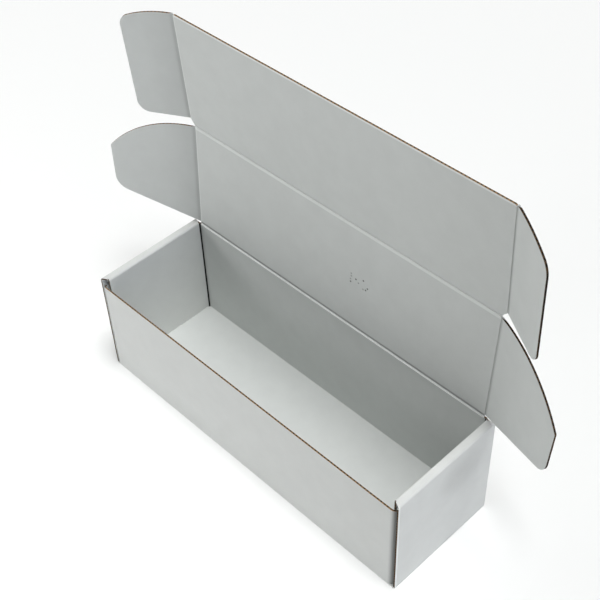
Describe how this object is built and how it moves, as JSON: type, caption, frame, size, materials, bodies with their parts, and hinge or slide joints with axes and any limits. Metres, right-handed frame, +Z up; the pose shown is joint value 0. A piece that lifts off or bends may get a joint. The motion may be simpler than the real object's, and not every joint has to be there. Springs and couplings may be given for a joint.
{
  "type": "roll-end mailer box",
  "caption": "Long open mailer box folded from white corrugated board, with rolled-over side walls and a hinged lid that has side flaps, a front tuck panel and ears.",
  "frame": {"origin": "centre of the tray's underside, on the surface it stands on", "axes": "+X along the length, +Y to the back where the lid is hinged, +Z up"},
  "size_m": [0.4687, 0.1132, 0.3154],
  "materials": {
    "white_board": "matt white liner with brown fluting at the raw edges"
  },
  "bodies": {
    "tray": {"tray": "white_board"},
    "lid": {"lid": "white_board"},
    "front_tuck_panel": {"front_tuck_panel": "white_board"},
    "lid_flap_left": {"lid_flap_left": "white_board"},
    "lid_flap_right": {"lid_flap_right": "white_board"},
    "tuck_ear_left": {"tuck_ear_left": "white_board"},
    "tuck_ear_right": {"tuck_ear_right": "white_board"}
  },
  "joints": [
    {"name": "lid_hinge", "type": "hinge", "parent": "tray", "child": "lid", "pos_m": [0, 0.05295, 0.1068], "axis": [-1, 0, 0], "range_deg": [-45, 86.9]},
    {"name": "tuck_panel_fold", "type": "hinge", "parent": "lid", "child": "front_tuck_panel", "pos_m": [0, 0.05857, 0.21055], "axis": [-1, 0, 0], "range_deg": [-34, 6.5]},
    {"name": "lid_flap_left_fold", "type": "hinge", "parent": "lid", "child": "lid_flap_left", "pos_m": [-0.1611, 0.05295, 0.1068], "axis": [0, -0.0541, -0.9985], "range_deg": [-63, 27]},
    {"name": "lid_flap_right_fold", "type": "hinge", "parent": "lid", "child": "lid_flap_right", "pos_m": [0.1611, 0.05295, 0.1068], "axis": [0, 0.0541, 0.9985], "range_deg": [-67, 23]},
    {"name": "tuck_ear_left_fold", "type": "hinge", "parent": "front_tuck_panel", "child": "tuck_ear_left", "pos_m": [-0.1654, 0.05857, 0.21055], "axis": [0, 0.0593, -0.9982], "range_deg": [-65, 25]},
    {"name": "tuck_ear_right_fold", "type": "hinge", "parent": "front_tuck_panel", "child": "tuck_ear_right", "pos_m": [0.1654, 0.05857, 0.21055], "axis": [0, -0.0593, 0.9982], "range_deg": [-60, 30]}
  ]
}
